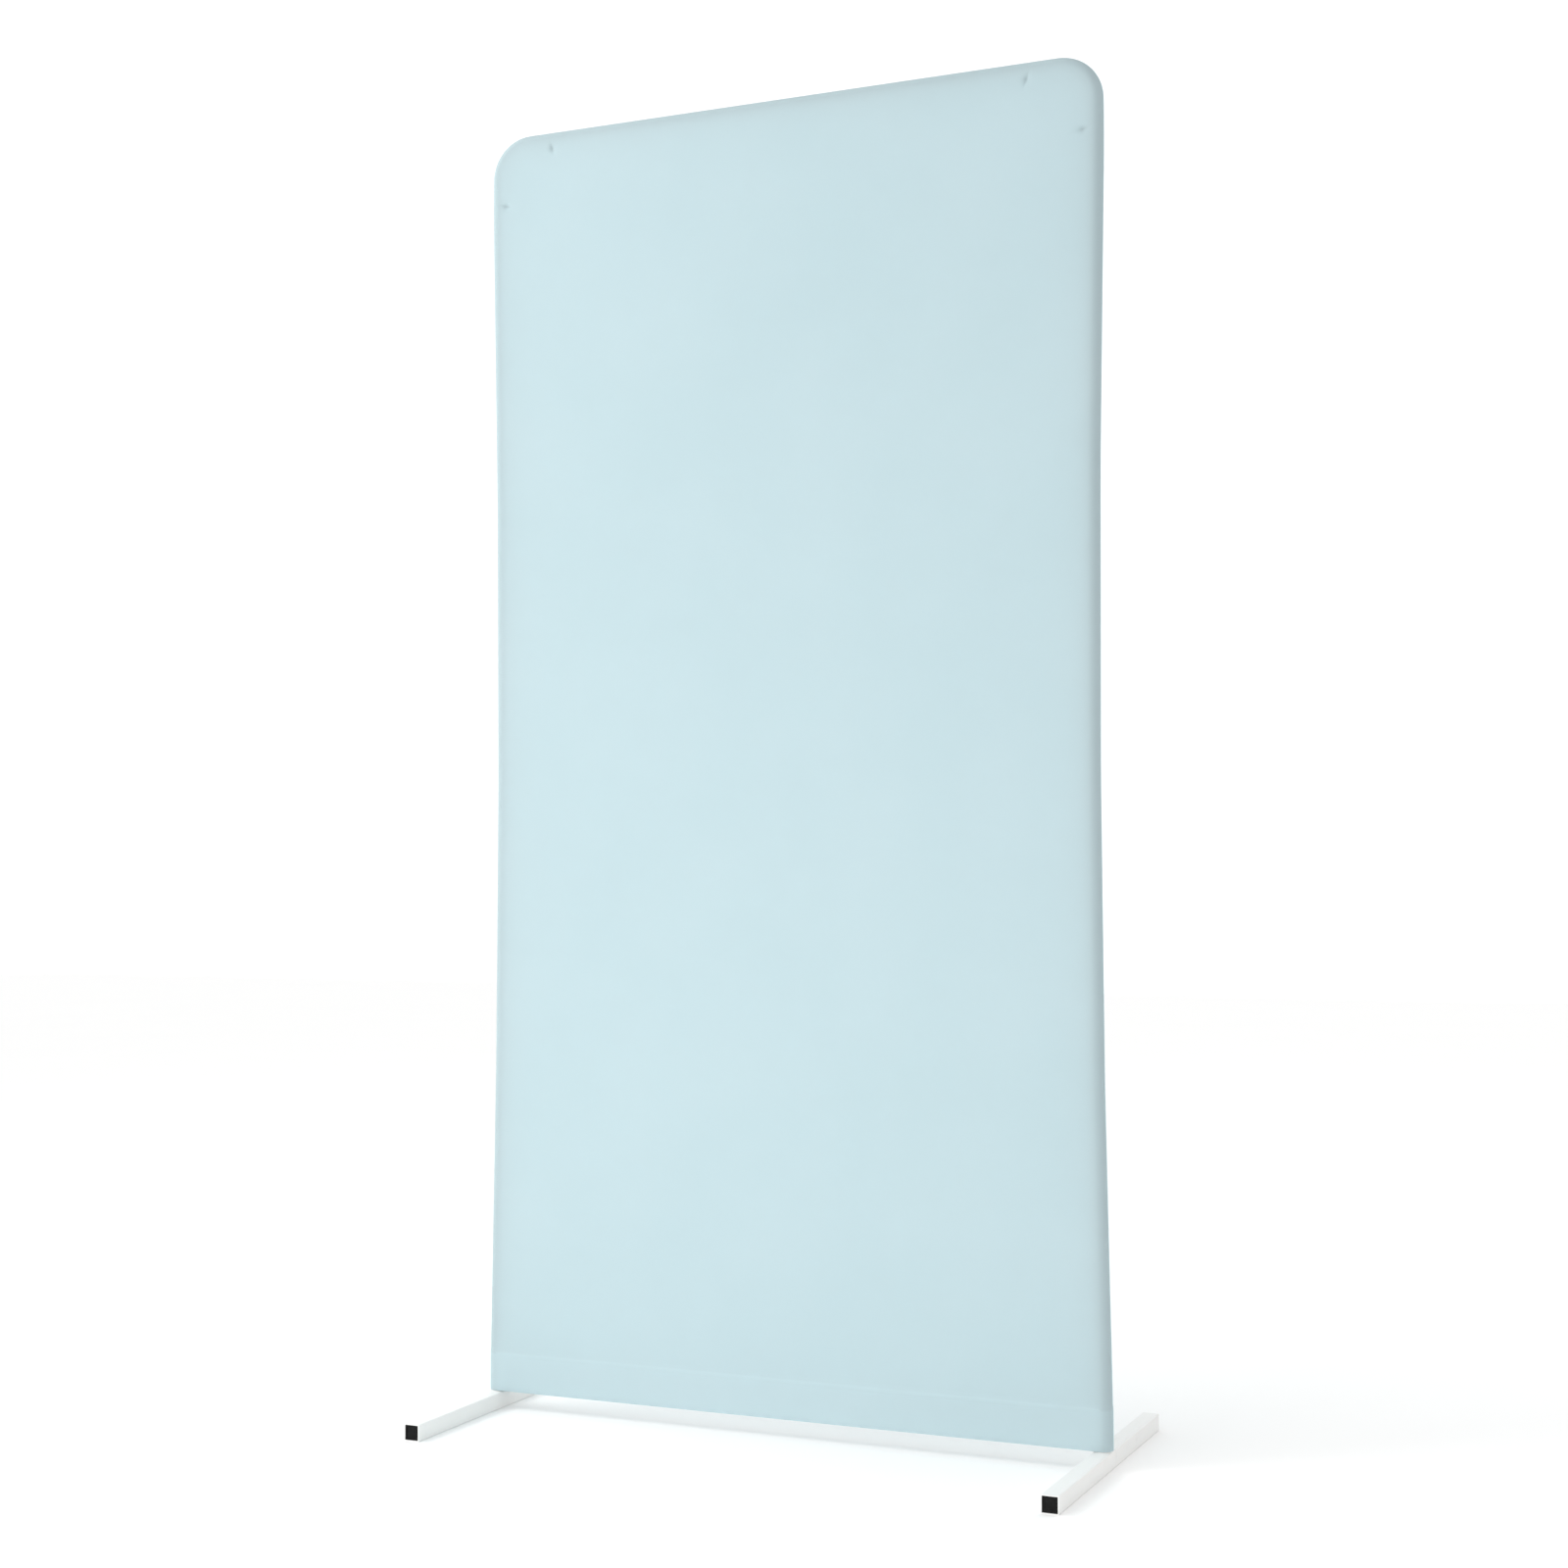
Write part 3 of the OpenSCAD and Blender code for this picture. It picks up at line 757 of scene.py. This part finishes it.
def makeFloor():
    # one large pale square under the feet
    half = 12.0
    corners = np.array([[-half, -half, 0], [half, -half, 0], [half, half, 0], [-half, half, 0]])
    floor = makeMesh("floor", corners, [[0, 1, 2, 3]], False)
    material, tree = newMaterial("paleFloor")
    place = node(tree, "ShaderNodeTexCoord").outputs["Object"]
    shade = node(tree, "ShaderNodeTexNoise", {"Vector": place, "Scale": 2.0}).outputs["Fac"]
    paler = tuple(c + 0.01 for c in studio["floorColour"][:3]) + (1,)
    colour = mixColour(tree, shade, studio["floorColour"], paler)
    shader = node(tree, "ShaderNodeBsdfPrincipled",
                  {"Base Color": colour, "Roughness": 0.7, "Specular IOR Level": 0.2})
    node(tree, "ShaderNodeOutputMaterial", {"Surface": shader.outputs[0]})
    floor.data.materials.append(material)


camera = {
    "place": (1.4172, -3.1903, 0.8374),
    "turn": 23.93,              # degrees to the left of straight ahead
    "tilt": 2.09,               # degrees up
    "roll": -0.115,
    "lens": 53.66,
}


def makeCamera():
    # at its place, turned about Z, tilted up and rolled, in that order
    data = bpy.data.cameras.new("camera")
    data.sensor_width = 36
    data.lens = camera["lens"]
    data.clip_end = 60
    eye = bpy.data.objects.new("camera", data)
    bpy.context.scene.collection.objects.link(eye)
    eye.matrix_world = (Matrix.Translation(camera["place"])
                        @ Matrix.Rotation(math.radians(camera["turn"]), 4, "Z")
                        @ Matrix.Rotation(math.radians(90 + camera["tilt"]), 4, "X")
                        @ Matrix.Rotation(math.radians(camera["roll"]), 4, "Z"))
    bpy.context.scene.camera = eye


# ---- put together ----

makeCamera()
makeWorld()
makeLight("keyLight")
makeLight("lowLight")
makeFloor()
bpy.context.scene.view_settings.view_transform = "Standard"
print("studio ready")
dressNodes()
print("frame dressed")
for name in sorted(nodes):
    if "spring" in name:
        makeHairpin(name)

frontPanel = makePanel("front_panel", -1)
backPanel = makePanel("back_panel", 1)
sewnEdge, seamPath, seamOutward = makeSeam()
edgeStitches = makeSeamStitches(seamPath, seamOutward)
frontHemStitches = makeHemStitches("front_hem_stitches", -1)
backHemStitches = makeHemStitches("back_hem_stitches", 1)
print("cover sewn")

for piece, slotName in ((frontPanel, "cover_cloth"), (backPanel, "cover_cloth"),
                        (sewnEdge, "seam_thread"), (edgeStitches, "seam_thread"),
                        (frontHemStitches, "seam_thread"), (backHemStitches, "seam_thread")):
    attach(piece, "cover")
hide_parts("cover_front")
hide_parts("cover_back")
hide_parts("cover_seam")
